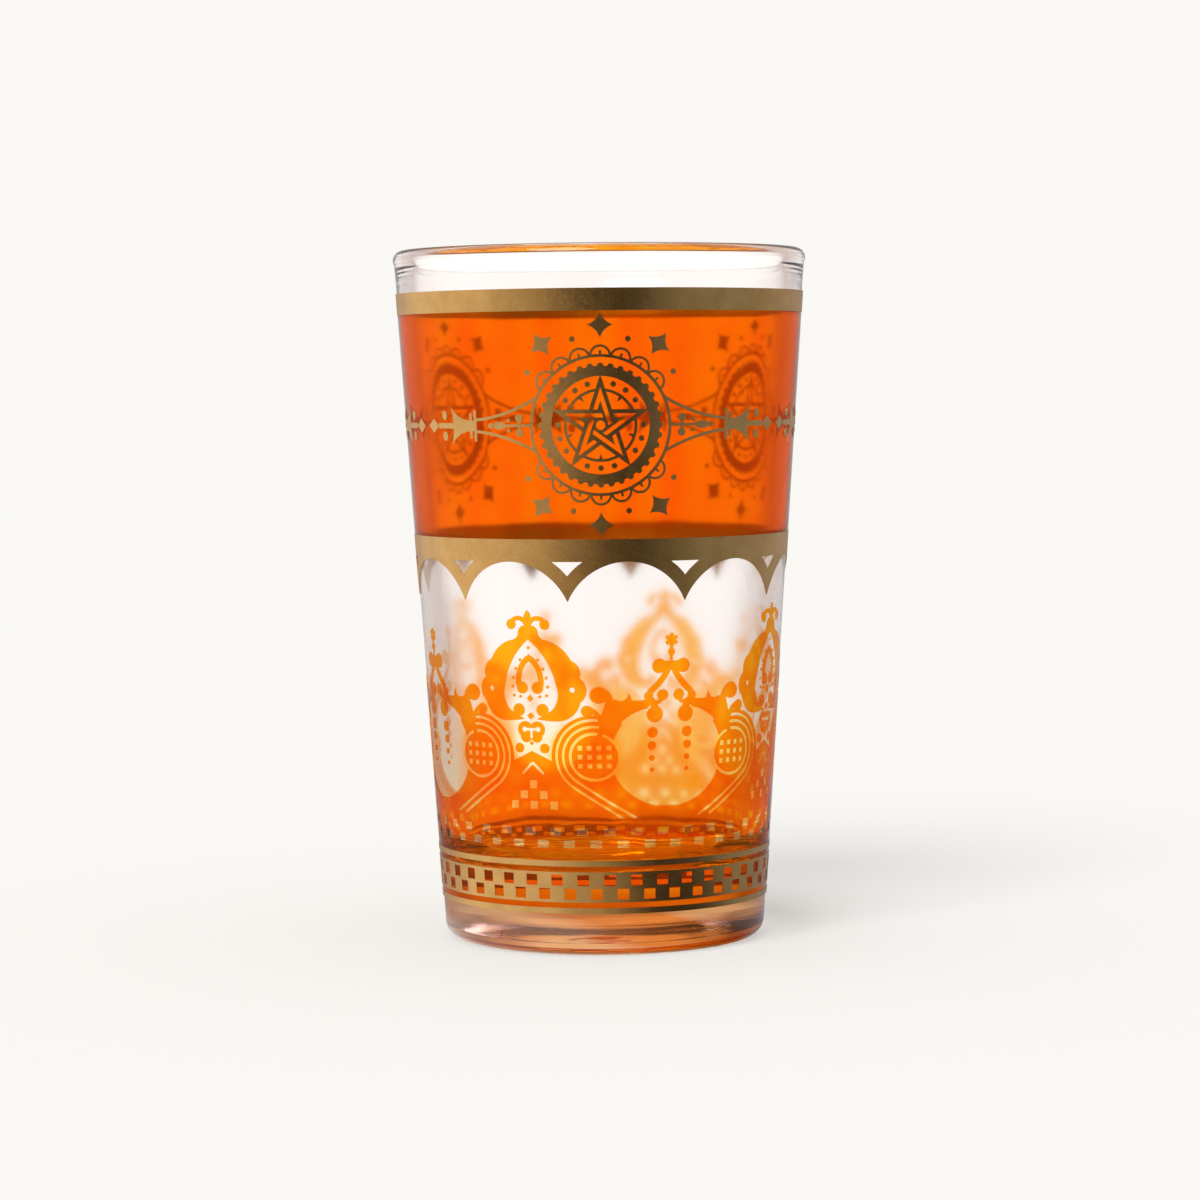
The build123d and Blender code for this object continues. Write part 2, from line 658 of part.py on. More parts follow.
# Orange arabesque
orange = shell(FIELD_TOP, CARTOUCHE_TOP, 0, ORANGE_FILM)
envelope, gaps = pillar_envelope(), pillar_gaps()
figure = cartouche_body() + cartouche_drop() + cartouche_knot() + mirrored(roundel())
opening = Pos(0, opening_z) * Ellipse(OPENING_HALF, OPENING_TALL / 2)
arch = arch_ornament()
half_panel = 180 / PANELS
openings = stamp(opening, half_panel) + stamp(opening, -half_panel)
taken = stamp(envelope, 0) - openings + stamp(figure, 0)
motifs = {
    "orange_cartouche": orange & (stamp(envelope - gaps, 0) - openings + stamp(figure, 0)),
    "orange_arch": orange & (stamp(arch, half_panel) - taken - Rot(0, 0, 2 * half_panel) * taken),
}
for name, motif in motifs.items():
    for k in range(PANELS):
        nodes[f"{name}_{k + 1}"] = Rot(0, 0, PANEL_TURN + 2 * half_panel * k) * motif

for name, piece in nodes.items():
    print(name, len(piece.solids()), round(piece.volume, 3), piece.is_valid)
    export_step(piece, f"parts/{name}.step")
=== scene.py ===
from math import acos, asin, cos, degrees, pi, radians, sin, sqrt

import bpy
from mathutils import Matrix, Vector


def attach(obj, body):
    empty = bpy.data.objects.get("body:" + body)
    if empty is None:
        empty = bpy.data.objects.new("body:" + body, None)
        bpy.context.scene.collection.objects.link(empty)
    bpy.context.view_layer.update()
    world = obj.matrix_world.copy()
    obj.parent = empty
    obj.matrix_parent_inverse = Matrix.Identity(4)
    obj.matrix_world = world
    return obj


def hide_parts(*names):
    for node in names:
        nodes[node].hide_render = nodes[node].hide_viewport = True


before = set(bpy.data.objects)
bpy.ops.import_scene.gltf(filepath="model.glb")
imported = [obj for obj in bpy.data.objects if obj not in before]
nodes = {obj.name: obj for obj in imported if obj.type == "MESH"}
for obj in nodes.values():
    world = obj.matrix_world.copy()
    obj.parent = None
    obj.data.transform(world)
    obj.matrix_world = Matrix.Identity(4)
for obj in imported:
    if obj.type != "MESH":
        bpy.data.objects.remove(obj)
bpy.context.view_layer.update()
mm = 0.001
print("frame:", len(nodes), "nodes")


# Small helpers

def addNode(tree, kind, place=(0, 0), **values):
    node = tree.nodes.new(kind)
    node.location = place
    for key, value in values.items():
        setattr(node, key, value)
    return node


def join(tree, source, target):
    tree.links.new(source, target)


def feed(tree, value, socket):
    # the value is another node's output or a plain number
    if hasattr(value, "links"):
        join(tree, value, socket)
    else:
        socket.default_value = value


def mathNode(tree, operation, first, second=None, third=None, place=(0, 0), clamp=False):
    node = addNode(tree, "ShaderNodeMath", place, operation=operation, use_clamp=clamp)
    for socket, value in zip(node.inputs, (first, second, third)):
        if value is not None:
            feed(tree, value, socket)
    return node.outputs[0]


def rangeNode(tree, value, low, high, toLow=0.0, toHigh=1.0, place=(0, 0)):
    node = addNode(tree, "ShaderNodeMapRange", place)
    join(tree, value, node.inputs["Value"])
    for name, number in zip(("From Min", "From Max", "To Min", "To Max"), (low, high, toLow, toHigh)):
        feed(tree, number, node.inputs[name])
    return node.outputs["Result"]


def byLength(tree, length, span, ends=(0, 1), place=(0, 0)):
    # a range between two lengths given in mm
    return rangeNode(tree, length, span[0] * mm, span[1] * mm, *ends, place)


def noiseNode(tree, vector, scale, detail=3.0, roughness=0.55, place=(0, 0)):
    node = addNode(tree, "ShaderNodeTexNoise", place)
    for name, value in zip(("Vector", "Scale", "Detail", "Roughness"), (vector, scale, detail, roughness)):
        feed(tree, value, node.inputs[name])
    return node.outputs["Fac"]


def stretched(tree, vector, scale, place=(0, 0)):
    node = addNode(tree, "ShaderNodeMapping", place)
    join(tree, vector, node.inputs["Vector"])
    node.inputs["Scale"].default_value = scale
    return node.outputs["Vector"]


def partsOf(tree, vector, place=(0, 0)):
    node = addNode(tree, "ShaderNodeSeparateXYZ", place)
    join(tree, vector, node.inputs[0])
    return node.outputs


def lengthOf(tree, vector, place=(0, 0)):
    node = addNode(tree, "ShaderNodeVectorMath", place, operation="LENGTH")
    join(tree, vector, node.inputs[0])
    return node.outputs["Value"]


def twoColours(tree, factor, first, second, place=(0, 0)):
    node = addNode(tree, "ShaderNodeMix", place, data_type="RGBA")
    feed(tree, factor, node.inputs["Factor"])
    sockets = [s for s in node.inputs if s.type == "RGBA"]
    for socket, colour in zip(sockets, (first, second)):
        feed(tree, colour if hasattr(colour, "links") else (*colour, 1), socket)
    return next(s for s in node.outputs if s.type == "RGBA")


def mixShaders(tree, factor, first, second, place=(0, 0)):
    node = addNode(tree, "ShaderNodeMixShader", place)
    feed(tree, factor, node.inputs[0])
    join(tree, first, node.inputs[1])
    join(tree, second, node.inputs[2])
    return node.outputs[0]


def letLampThrough(tree, shader, tint, place):
    # shadow and diffuse rays cross the piece with a plain tint
    x, y = place
    clear = addNode(tree, "ShaderNodeBsdfTransparent", place)
    clear.inputs["Color"].default_value = (*tint, 1)
    rays = addNode(tree, "ShaderNodeLightPath", (x - 200, y + 400)).outputs
    through = mathNode(tree, "MAXIMUM", rays["Is Shadow Ray"], rays["Is Diffuse Ray"], place=(x, y + 300))
    return mixShaders(tree, through, shader, clear.outputs[0], (x + 200, y + 100))


def newGroup(name, inputs, outputs):
    group = bpy.data.node_groups.new(name, "ShaderNodeTree")
    for label, value in inputs.items():
        socket = group.interface.new_socket(label, in_out="INPUT", socket_type="NodeSocketFloat")
        socket.default_value = value
    for label in outputs:
        group.interface.new_socket(label, in_out="OUTPUT", socket_type="NodeSocketFloat")
    source = addNode(group, "NodeGroupInput", (-1200, 0))
    result = addNode(group, "NodeGroupOutput", (600, 0))
    return group, source, result


def placeGroup(tree, group, values, place=(-600, 0)):
    node = addNode(tree, "ShaderNodeGroup", place)
    node.node_tree = group
    for label, value in values.items():
        node.inputs[label].default_value = value
    return node


def newMaterial(name):
    material = bpy.data.materials.new(name)
    material.use_nodes = True
    tree = material.node_tree
    tree.nodes.clear()
    return material, tree, addNode(tree, "ShaderNodeOutputMaterial", (900, 0))


# Shared effects

def makePrintWear():
    # mottle of the printed coat, its fine grain and its pinholes, all on object coordinates
    inputs = {"Mottle Scale": 400, "Grain Scale": 5000,
              "Hole Scale": 500, "Hole Size": 0.08, "Hole Share": 0.1}
    rag = 0.06  # how far the grain frays the edge of a pinhole
    group, source, result = newGroup("printWear", inputs, ("Mottle", "Grain", "Holes"))
    where = addNode(group, "ShaderNodeTexCoord", (-1400, -300)).outputs["Object"]
    mottle = noiseNode(group, where, source.outputs["Mottle Scale"], 5, 0.6, (-700, 300))
    grain = noiseNode(group, where, source.outputs["Grain Scale"], 2, 0.5, (-700, 100))
    cells = addNode(group, "ShaderNodeTexVoronoi", (-900, -200))
    join(group, where, cells.inputs["Vector"])
    join(group, source.outputs["Hole Scale"], cells.inputs["Scale"])
    chance = addNode(group, "ShaderNodeSeparateColor", (-700, -200))
    join(group, cells.outputs["Color"], chance.inputs[0])
    picked = mathNode(group, "LESS_THAN", chance.outputs[0], source.outputs["Hole Share"], place=(-500, -100))
    ragged = mathNode(group, "MULTIPLY_ADD", grain, rag, cells.outputs["Distance"], (-500, -250))
    edge = mathNode(group, "ADD", source.outputs["Hole Size"], rag / 2, place=(-500, -400))
    inHole = mathNode(group, "LESS_THAN", ragged, edge, place=(-300, -250))
    holes = mathNode(group, "MULTIPLY", picked, inHole, place=(-100, -150))
    for label, value in (("Mottle", mottle), ("Grain", grain), ("Holes", holes)):
        join(group, value, result.inputs[label])
    return group


def makeGlassSkin():
    # slow waves of pressed glass, level streaks and faint smears
    inputs = {"Wave Scale": 90, "Streak Scale": 60, "Streaks": 0.0,
              "Smear Scale": 60, "Clean": 0.0, "Smeared": 0.03}
    smearRange = (0.5, 0.75)
    waveStretch, streakStretch = (1, 1, 0.45), (1, 1, 4.5)
    group, source, result = newGroup("glassSkin", inputs, ("Roughness", "Height", "Streak"))
    where = addNode(group, "ShaderNodeTexCoord", (-1400, -300)).outputs["Object"]
    drawn = stretched(group, where, waveStretch, (-1000, 200))
    waves = noiseNode(group, drawn, source.outputs["Wave Scale"], 3, 0.45, (-700, 200))
    layered = stretched(group, where, streakStretch, (-1000, 450))
    streaks = noiseNode(group, layered, source.outputs["Streak Scale"], 0, 0.4, (-700, 450))
    height = mathNode(group, "MULTIPLY_ADD", streaks, source.outputs["Streaks"], waves, (-400, 300))
    smear = noiseNode(group, where, source.outputs["Smear Scale"], 4, 0.6, (-700, -100))
    ends = source.outputs["Clean"], source.outputs["Smeared"]
    amount = rangeNode(group, smear, *smearRange, *ends, (-300, -100))
    for label, value in (("Roughness", amount), ("Height", height), ("Streak", streaks)):
        join(group, value, result.inputs[label])
    return group


printWear = makePrintWear()
glassSkin = makeGlassSkin()
print("shared effects: printWear, glassSkin")


# Glass blank, with lengths in mm and angles in degrees

glassBlank = {
    "height": 91.99,  # a hair under the CAD's, which keeps the rim inside its box
    "rimRadius": 27.5, "footRadius": 21.35, "wallAtRim": 2.0, "wallAtFloor": 3.4,
    "floorThickness": 10.5, "floorRound": 5.0, "footRound": 2.2,
    "beadRadius": 1.3, "beadProud": 0.135, "beadEnd": 168.0, "beadEase": 9.0,
    "hollowRadius": 16.0, "hollowDepth": 0.9, "ringPitch": 4.2, "ringHeight": 0.16,
    "skinGap": 0.03,  # the printed films lie on the skin, so it is kept this far under them
    "segments": 312, "wallSteps": 44, "arcSteps": 16, "footSteps": 4,
    "floorRipple": 0.5, "floorRippleSize": 7.0, "footRipple": 0.45, "footRippleSize": 7.0,
    "wallRipple": 0.12, "wallRippleSize": 14.0, "wallRippleDrop": 6.0, "cupMargin": 0.3,
}
# a pair of heights says where a mark starts to change and where the change ends
glassLook = {
    "tint": (1.0, 1.0, 1.0), "ior": 1.51, "lampTint": (0.965, 0.965, 0.968), "bump": 0.06,
    "depthColour": (0.45, 0.20, 0.15), "depthDensity": 10.0,  # thick glass warms the light
    "outerSmear": 0.08,
    "innerClean": (0.175, 0.093), "innerSmear": (0.20, 0.12),  # behind the arabesque and behind the frieze
    "innerChange": (45.0, 58.0), "rimClear": (4.0, 1.0),
    "footTop": (6.0, 10.0), "footRough": 0.085,
    "footPaintedPale": (1.0, 0.95, 0.90), "footPaintedOrange": (0.82, 0.27, 0.05),  # painted reflections: pale and orange streaks in the foot's colour stand for the surround and the orange film seen in the thick foot
    "streakTop": (4.0, 9.0), "streaks": 3.0, "streakRange": (0.42, 0.57),
    "paintedGlow": (1.0, 0.94, 0.55), "paintedGlowTop": (17.0, 32.0),  # painted glow: the glass's own colour is warmed low down, standing in for stray light from the orange field
    "paintedGapGlow": (1.0, 0.64, 0.06),  # painted glow: the glass's colour is warmed orange in the fine gaps of roundels, tents and straps, for light that has come through the orange film
    "panels": 4, "panelTurn": -23.4, "roundelTurn": 17.5, "roundelHeight": 26.2, "gapGlowReach": (4.5, 5.5),
    "tentTurn": (21.0, 24.0), "tentLow": (17.8, 20.8), "tentTop": (22.0, 25.0), "tentShare": 0.8,
}


def outsideAt(z):
    g = glassBlank
    return g["footRadius"] + (g["rimRadius"] - g["footRadius"]) * z / g["height"]


def insideAt(z):
    g = glassBlank
    share = (z - g["floorThickness"]) / (g["height"] - g["floorThickness"])
    return outsideAt(z) - g["wallAtFloor"] + (g["wallAtFloor"] - g["wallAtRim"]) * share


def arcPoints(centre, radius, start, end, steps):
    angles = [radians(start + (end - start) * k / steps) for k in range(steps + 1)]
    return [(centre[0] + radius * cos(a), centre[1] + radius * sin(a)) for a in angles]


def linePoints(start, end, steps):
    return [tuple(a + (b - a) * k / steps for a, b in zip(start, end)) for k in range(1, steps)]


def glassProfile():
    g = glassBlank
    gap = g["skinGap"]
    lean = (g["rimRadius"] - g["footRadius"]) / g["height"]  # the wall's flare for each mm of height
    leanAngle = asin(lean / sqrt(1 + lean**2))
    # hollow under the foot
    sag = (g["hollowRadius"] ** 2 + g["hollowDepth"] ** 2) / (2 * g["hollowDepth"])
    reach = degrees(asin(g["hollowRadius"] / sag))
    hollow = arcPoints((0, g["hollowDepth"] - sag), sag, 90, 90 - reach, 2 * g["arcSteps"])
    # faint rings left by the mould
    ringed = [(x, z + g["ringHeight"] * sin(pi * x / g["ringPitch"]) ** 2) for x, z in hollow[:-2]]
    hollow = ringed + hollow[-2:]
    # round of the foot, tangent to the table and to the leaning wall
    r = g["footRound"]
    tangent = r * (1 - sin(leanAngle)) / cos(leanAngle)
    footCentre = (g["footRadius"] - gap - tangent, r)
    foot = arcPoints(footCentre, r, -90, -degrees(leanAngle), g["arcSteps"])
    # bead of the rim
    rimZ = g["height"] - g["beadRadius"]
    beadX = outsideAt(rimZ) + g["beadProud"] - g["beadRadius"]
    wallX = outsideAt(rimZ) - gap
    low = -degrees(acos(min(1, (wallX - beadX) / g["beadRadius"])))
    lowZ = rimZ + g["beadRadius"] * sin(radians(low))
    outerEnd = (outsideAt(lowZ) - gap, lowZ)
    bead = arcPoints((beadX, rimZ), g["beadRadius"], low, g["beadEnd"], 2 * g["arcSteps"])
    # inner wall, floor corner and floor
    z = g["floorThickness"]
    innerLean = (insideAt(g["height"]) - insideAt(z)) / (g["height"] - z)
    innerAngle = asin(innerLean / sqrt(1 + innerLean**2))
    f = g["floorRound"]
    inset = f * (1 - sin(innerAngle)) / cos(innerAngle)
    cornerCentre = (insideAt(z) - inset, z + f)
    corner = arcPoints(cornerCentre, f, -degrees(innerAngle), -90, g["arcSteps"])
    # the bead is thicker than the wall and eases into it
    wallTop = (insideAt(rimZ - g["beadEase"]), rimZ - g["beadEase"])
    swell = insideAt(bead[-1][1]) - bead[-1][0]
    ease = []
    for k in range(1, g["arcSteps"]):
        t = k / g["arcSteps"]
        h = bead[-1][1] + (wallTop[1] - bead[-1][1]) * t
        ease.append((insideAt(h) - swell * (1 - t) ** 2 * (1 + 2 * t), h))
    outer = linePoints(foot[-1], outerEnd, g["wallSteps"])
    inner = ease + [wallTop] + linePoints(wallTop, corner[0], g["wallSteps"])
    floor = linePoints(corner[-1], (0, z), 2 * g["arcSteps"]) + [(0, z)]
    stand = linePoints(hollow[-1], foot[0], g["footSteps"])
    return hollow + stand + foot + outer + bead + inner + corner + floor


def spunPiece(name, profile, segments):
    bpy.ops.object.select_all(action="DESELECT")
    bpy.ops.mesh.primitive_plane_add(size=mm)
    piece = bpy.context.object
    piece.name = piece.data.name = name
    bpy.ops.object.mode_set(mode="EDIT")
    bpy.ops.mesh.merge(type="CENTER")  # the plane becomes the profile's first point
    here = Vector((0, 0, 0))
    for k, (x, z) in enumerate(profile):
        there = Vector((x * mm, 0, z * mm))
        if k == 0:
            bpy.ops.transform.translate(value=there - here)
        else:
            bpy.ops.mesh.extrude_region_move(TRANSFORM_OT_translate={"value": there - here})
        here = there
    bpy.ops.mesh.select_all(action="SELECT")
    bpy.ops.mesh.spin(steps=segments, angle=2 * pi, center=(0, 0, 0), axis=(0, 0, 1))
    bpy.ops.mesh.select_all(action="SELECT")
    bpy.ops.mesh.remove_doubles(threshold=0.001 * mm)
    bpy.ops.mesh.normals_make_consistent(inside=False)
    bpy.ops.object.mode_set(mode="OBJECT")
    bpy.ops.object.shade_smooth()
    return piece


def ripple(piece, label, weightAt, size, height, depth):
    # a shallow wave on part of the skin, as pressed glass has
    group = piece.vertex_groups.new(name=label)
    for v in piece.data.vertices:
        weight = weightAt(v.co / mm)
        if weight > 0:
            group.add([v.index], min(1, weight), "REPLACE")
    waves = bpy.data.textures.new(label, "CLOUDS")
    waves.noise_scale = size * mm
    waves.noise_depth = depth
    modifier = piece.modifiers.new(label, "DISPLACE")
    modifier.texture = waves
    modifier.texture_coords = "LOCAL"
    modifier.vertex_group = label
    modifier.strength = height * mm
    modifier.mid_level = 0.5
    bpy.ops.object.modifier_apply(modifier=label)


def radiusAt(place):
    return sqrt(place.x**2 + place.y**2)


def inCup(place, low):
    return place.z > low and radiusAt(place) < insideAt(place.z) + glassBlank["cupMargin"]


def onFloor(place):
    g = glassBlank
    low = 1 - (place.z - g["floorThickness"]) / (2 * g["floorRound"])
    return max(0, low) if inCup(place, g["floorThickness"] / 2) else 0.0


def underFoot(place):
    g = glassBlank
    inHollow = radiusAt(place) < g["hollowRadius"] and place.z < g["floorThickness"] / 2
    return place.z / g["hollowDepth"] if inHollow else 0.0


def onInnerWall(place):
    g = glassBlank
    underRim = place.z < g["height"] - g["wallRippleDrop"]
    return 1.0 if underRim and inCup(place, g["floorThickness"]) else 0.0


def innerWallMask(tree, where):
    # 1 on the wall inside the cup, fading out at the floor and below the rim
    g = glassBlank
    flat = addNode(tree, "ShaderNodeVectorMath", (-1400, -300), operation="MULTIPLY")
    join(tree, where, flat.inputs[0])
    flat.inputs[1].default_value = (1, 1, 0)
    radius = lengthOf(tree, flat.outputs[0], (-1200, -300))
    z = partsOf(tree, where, (-1400, -500))["Z"]
    low, high = ((insideAt(h) + outsideAt(h)) / 2 for h in (0, g["height"]))
    midWall = byLength(tree, z, (0, g["height"]), (low * mm, high * mm), (-1200, -500))
    within = mathNode(tree, "LESS_THAN", radius, midWall, place=(-1000, -400))
    corner = g["floorThickness"] + g["floorRound"]
    overFloor = byLength(tree, z, (corner, corner + g["floorRound"]), place=(-1000, -600))
    rimSpan = [g["height"] - drop for drop in glassLook["rimClear"]]
    underRim = byLength(tree, z, rimSpan, (1, 0), (-1000, -800))
    onWall = mathNode(tree, "MULTIPLY", within, overFloor, place=(-800, -500))
    return mathNode(tree, "MULTIPLY", onWall, underRim, place=(-600, -500))


def paintedGapGlowMask(tree, where):
    # 1 round each roundel and on each tent of the arabesque, by the folded angle from the panel's middle;
    # this is where the painted glow in the gaps goes
    look = glassLook
    parts = partsOf(tree, where, (-1700, 900))
    front = mathNode(tree, "MULTIPLY", parts["Y"], -1.0, place=(-1500, 900))
    turn = mathNode(tree, "ARCTAN2", parts["X"], front, place=(-1350, 900))
    fromPanel = mathNode(tree, "SUBTRACT", turn, radians(look["panelTurn"]), place=(-1200, 900))
    folded = mathNode(tree, "PINGPONG", fromPanel, pi / look["panels"], place=(-1050, 900))
    aside = mathNode(tree, "SUBTRACT", folded, radians(look["roundelTurn"]), place=(-900, 900))
    across = mathNode(tree, "MULTIPLY", aside, outsideAt(look["roundelHeight"]), place=(-750, 900))
    up = mathNode(tree, "MULTIPLY_ADD", parts["Z"], 1 / mm, -look["roundelHeight"], (-900, 1100))
    rise = mathNode(tree, "MULTIPLY", up, up, place=(-750, 1100))
    square = mathNode(tree, "MULTIPLY_ADD", across, across, rise, (-600, 900))
    away = mathNode(tree, "SQRT", square, place=(-450, 900))
    roundels = rangeNode(tree, away, *look["gapGlowReach"], 1, 0, (-300, 900))
    turnSpan = [radians(angle) for angle in look["tentTurn"]]
    beside = rangeNode(tree, folded, *turnSpan, 1, 0, (-900, 1500))
    above = byLength(tree, parts["Z"], look["tentLow"], (0, look["tentShare"]), (-900, 1700))
    below = byLength(tree, parts["Z"], look["tentTop"], (1, 0), (-900, 1300))
    between = mathNode(tree, "MULTIPLY", above, below, place=(-700, 1500))
    tents = mathNode(tree, "MULTIPLY", between, beside, place=(-500, 1400))
    return mathNode(tree, "MAXIMUM", roundels, tents, place=(-150, 900))


def makeGlassLook():
    look = glassLook
    material, tree, output = newMaterial("clearGlass")
    where = addNode(tree, "ShaderNodeTexCoord", (-1700, -300)).outputs["Object"]
    z = partsOf(tree, where, (-1000, 100))["Z"]
    wall = innerWallMask(tree, where)
    inFoot = byLength(tree, z, look["footTop"], (1, 0), (-800, 100))
    softFoot = mathNode(tree, "MULTIPLY", inFoot, look["footRough"], place=(-800, -100))
    skin = placeGroup(tree, glassSkin, {}, (-200, -300))
    levels = (("Clean", 0.0, look["innerClean"]), ("Smeared", look["outerSmear"], look["innerSmear"]))
    for label, outer, inner in levels:
        outerLevel = mathNode(tree, "MAXIMUM", softFoot, outer, place=(-600, -100))
        innerLevel = byLength(tree, z, look["innerChange"], inner, (-600, -300))
        join(tree, rangeNode(tree, wall, 0, 1, outerLevel, innerLevel, (-400, -300)), skin.inputs[label])
    streaks = byLength(tree, z, look["streakTop"], (look["streaks"], 0), (-400, 100))
    join(tree, streaks, skin.inputs["Streaks"])
    bump = addNode(tree, "ShaderNodeBump", (0, -300))
    bump.inputs["Strength"].default_value = look["bump"]
    bump.inputs["Distance"].default_value = mm
    join(tree, skin.outputs["Height"], bump.inputs["Height"])
    # painted glow: the glass's colour turns warm towards the foot, for stray light from the orange field
    paintedGlow = byLength(tree, z, look["paintedGlowTop"], (1, 0), (-200, 400))
    cast = twoColours(tree, paintedGlow, look["tint"], look["paintedGlow"], (0, 400))
    # painted glow in the fine gaps, kept off the inner wall
    outside = mathNode(tree, "SUBTRACT", 1.0, wall, place=(-200, 800))
    warm = mathNode(tree, "MULTIPLY", paintedGapGlowMask(tree, where), outside, place=(-50, 800))
    cast = twoColours(tree, warm, cast, look["paintedGapGlow"], (50, 500))
    # painted reflections in the foot: its colour is streaked between pale and orange
    streak = rangeNode(tree, skin.outputs["Streak"], *look["streakRange"], place=(-200, 200))
    footPaintedReflections = twoColours(tree, streak, look["footPaintedPale"], look["footPaintedOrange"], (0, 200))
    glass = addNode(tree, "ShaderNodeBsdfPrincipled", (200, 0))
    join(tree, twoColours(tree, inFoot, cast, footPaintedReflections, (100, 300)), glass.inputs["Base Color"])
    glass.inputs["IOR"].default_value = look["ior"]
    glass.inputs["Transmission Weight"].default_value = 1.0
    join(tree, skin.outputs["Roughness"], glass.inputs["Roughness"])
    join(tree, bump.outputs["Normal"], glass.inputs["Normal"])
    surface = letLampThrough(tree, glass.outputs[0], look["lampTint"], (450, 300))
    join(tree, surface, output.inputs["Surface"])
    depth = addNode(tree, "ShaderNodeVolumeAbsorption", (650, -200))
    depth.inputs["Color"].default_value = (*look["depthColour"], 1)
    depth.inputs["Density"].default_value = look["depthDensity"]
    join(tree, depth.outputs[0], output.inputs["Volume"])
    return material


def makeGlass():
    g = glassBlank
    glass = spunPiece("tea_glass_blank", glassProfile(), g["segments"])
    places = (("floorRipple", onFloor, 2), ("footRipple", underFoot, 1), ("wallRipple", onInnerWall, 1))
    for label, weightAt, depth in places:
        ripple(glass, label, weightAt, g[label + "Size"], g[label], depth)
    glass.data.materials.append(makeGlassLook())
    return glass


glass = makeGlass()
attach(glass, "root")
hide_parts("glass_body")
print("glass blank:", len(glass.data.polygons), "faces")


# Orange enamel films

orangeLook = {
    "thin": (1.0, 0.475, 0.008), "thick": (0.99, 0.285, 0.001), "pinhole": (1.0, 0.86, 0.62),
    "body": (0.95, 0.26, 0.004), "bodyShare": 0.06, "lampTint": (0.78, 0.785, 0.79),
    "ior": 1.5, "sheen": 2.6, "sheenCurve": 2.2,
    "roughness": 0.16, "grainRoughness": 0.12, "grainRange": (0.2, 0.8),
    "mottleScale": 260.0, "mottle": 0.3, "mottleRange": (0.3, 0.7),
    "holeScale": 420.0, "holeShare": 0.03, "holeSize": 0.05,
    "runScale": 210.0, "runStretch": 0.05, "runs": 0.45, "runRange": (0.35, 0.65),
    "strokes": (22.0, 42.0), "strokeDepth": (0.95, 0.45),  # the coat thins from the field up into the strokes
    "friezeLow": 52.0,  # above this it is full again
}


def makeOrangeEnamel():
    look = orangeLook
    material, tree, output = newMaterial("orangeEnamel")
    wear = placeGroup(tree, printWear, {
        "Mottle Scale": look["mottleScale"], "Hole Scale": look["holeScale"],
        "Hole Share": look["holeShare"], "Hole Size": look["holeSize"]}, (-900, 0))
    where = addNode(tree, "ShaderNodeTexCoord", (-1300, 500)).outputs["Object"]
    z = partsOf(tree, where, (-1100, 500))["Z"]
    strokes = byLength(tree, z, look["strokes"], look["strokeDepth"], (-900, 500))
    frieze = mathNode(tree, "GREATER_THAN", z, look["friezeLow"] * mm, place=(-900, 700))
    level = mathNode(tree, "MAXIMUM", strokes, frieze, place=(-700, 600))
    mottle = rangeNode(tree, wear.outputs["Mottle"], *look["mottleRange"], -look["mottle"], 0, (-700, 200))
    drawn = stretched(tree, where, (1, 1, look["runStretch"]), (-1100, 300))
    runNoise = noiseNode(tree, drawn, look["runScale"], 2, 0.5, (-900, 300))
    runs = rangeNode(tree, runNoise, *look["runRange"], -look["runs"], 0, (-700, 300))
    uneven = mathNode(tree, "ADD", mottle, runs, place=(-600, 300))
    depth = mathNode(tree, "ADD", level, uneven, place=(-500, 400), clamp=True)
    tint = twoColours(tree, depth, look["thin"], look["thick"], (-400, 250))
    tint = twoColours(tree, wear.outputs["Holes"], tint, look["pinhole"], (-200, 250))
    clear = addNode(tree, "ShaderNodeBsdfTransparent", (0, 250))
    join(tree, tint, clear.inputs["Color"])
    body = addNode(tree, "ShaderNodeBsdfPrincipled", (0, 0))
    body.inputs["Base Color"].default_value = (*look["body"], 1)
    ends = look["roughness"], look["roughness"] + look["grainRoughness"]
    rough = rangeNode(tree, wear.outputs["Grain"], *look["grainRange"], *ends, (-300, -200))
    join(tree, rough, body.inputs["Roughness"])
    body.inputs["Specular IOR Level"].default_value = 0.0  # the gloss is laid over coat and body together
    coat = mixShaders(tree, look["bodyShare"], clear.outputs[0], body.outputs[0], (200, 200))
    gloss = addNode(tree, "ShaderNodeBsdfGlossy", (0, -300))
    join(tree, rough, gloss.inputs["Roughness"])
    weight = addNode(tree, "ShaderNodeFresnel", (-200, 500))
    weight.inputs["IOR"].default_value = look["ior"]
    curved = mathNode(tree, "POWER", weight.outputs[0], look["sheenCurve"], place=(-50, 500))
    share = mathNode(tree, "MULTIPLY", curved, look["sheen"], place=(100, 500), clamp=True)
    face = mixShaders(tree, share, coat, gloss.outputs[0], (350, 200))
    # the coat colours light once, on the way in
    openBack = addNode(tree, "ShaderNodeBsdfTransparent", (350, 0))
    side = addNode(tree, "ShaderNodeNewGeometry", (350, 500))
    once = mixShaders(tree, side.outputs["Backfacing"], face, openBack.outputs[0], (500, 150))
    join(tree, letLampThrough(tree, once, look["lampTint"], (550, -100)), output.inputs["Surface"])
    return material


# Gold lustre

goldLook = {
    "bright": (0.76, 0.46, 0.17), "dull": (0.52, 0.29, 0.09), "roughness": 0.26, "grainRoughness": 0.15,
    "mottleScale": 320.0, "mottleRange": (0.3, 0.72), "mottleShare": 0.55,
    "grainScale": 5200.0, "grainRange": (0.25, 0.75), "grainShare": 0.45, "bump": 0.25, "bumpDepth": 0.02,
    "holeScale": 620.0, "holeShare": 0.05, "holeSize": 0.05,
}


